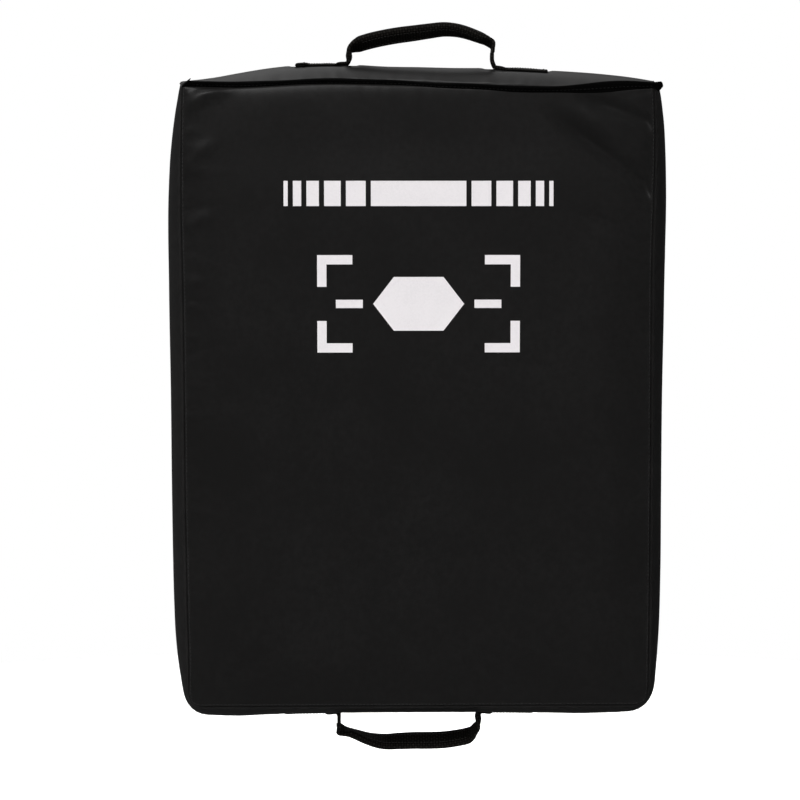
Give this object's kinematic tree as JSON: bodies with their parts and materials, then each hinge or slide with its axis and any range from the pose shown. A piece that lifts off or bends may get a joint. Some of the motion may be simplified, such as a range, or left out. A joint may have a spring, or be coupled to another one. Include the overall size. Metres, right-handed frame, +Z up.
{
  "type": "impact shield",
  "caption": "Hand-held foam impact shield in a boxed sewn cover, with webbing carrying handles above and below and arm straps on the back.",
  "frame": {"origin": "middle of the back panel's outer face, between the two arm straps, where the holder's arms carry the shield", "axes": "+Z up the shield towards its top handle, +Y out of the back towards the holder, +X to the right as the striking face is seen from in front"},
  "size_m": [0.495, 0.1942, 0.7332],
  "materials": {
    "cover_fabric": "black PVC-coated fabric, fine pebbled grain, soft satin sheen",
    "binding_tape": "black folded fabric tape, satin",
    "webbing": "black woven nylon webbing, matt",
    "strike_foam": "soft open-cell foam, matt",
    "backing_foam": "firm closed-cell foam, matt",
    "patch_fabric": "heavy woven reinforcing fabric, matt"
  },
  "bodies": {
    "shield": {"front_panel": "cover_fabric", "back_panel": "cover_fabric", "boxing_strip": "cover_fabric", "top_panel": "cover_fabric", "closing_seam_binding": "binding_tape", "strike_foam": "strike_foam", "backing_foam": "backing_foam", "top_handle_left_foot": "webbing", "top_handle_right_foot": "webbing", "bottom_handle_left_foot": "webbing", "bottom_handle_right_foot": "webbing", "left_arm_strap_lower_foot": "webbing", "left_arm_strap_upper_foot": "webbing", "right_arm_strap_lower_foot": "webbing", "right_arm_strap_upper_foot": "webbing", "top_handle_left_patch": "patch_fabric", "top_handle_right_patch": "patch_fabric", "bottom_handle_left_patch": "patch_fabric", "bottom_handle_right_patch": "patch_fabric", "left_arm_strap_lower_patch": "patch_fabric", "left_arm_strap_upper_patch": "patch_fabric", "right_arm_strap_lower_patch": "patch_fabric", "right_arm_strap_upper_patch": "patch_fabric"},
    "top_handle": {"top_handle_loop": "webbing"},
    "bottom_handle": {"bottom_handle_loop": "webbing"},
    "left_arm_strap": {"left_arm_strap_loop": "webbing"},
    "right_arm_strap": {"right_arm_strap_loop": "webbing"}
  },
  "joints": [
    {"name": "top_handle_flop", "type": "hinge", "parent": "shield", "child": "top_handle", "pos_m": [0.003, -0.0615, 0.3398], "axis": [1, 0, 0], "range_deg": [-60, 105], "stiffness_Nm_per_rad": 0.04},
    {"name": "bottom_handle_flop", "type": "hinge", "parent": "shield", "child": "bottom_handle", "pos_m": [-0.009, -0.0615, -0.3378], "axis": [1, 0, 0], "range_deg": [-105, 60], "stiffness_Nm_per_rad": 0.04},
    {"name": "left_arm_strap_swing", "type": "hinge", "parent": "shield", "child": "left_arm_strap", "pos_m": [-0.11, 0.0131, 0], "axis": [0, 0, 1], "range_deg": [-50, 50], "stiffness_Nm_per_rad": 0.04},
    {"name": "right_arm_strap_swing", "type": "hinge", "parent": "shield", "child": "right_arm_strap", "pos_m": [0.11, 0.0131, 0], "axis": [0, 0, 1], "range_deg": [-50, 50], "stiffness_Nm_per_rad": 0.04}
  ]
}
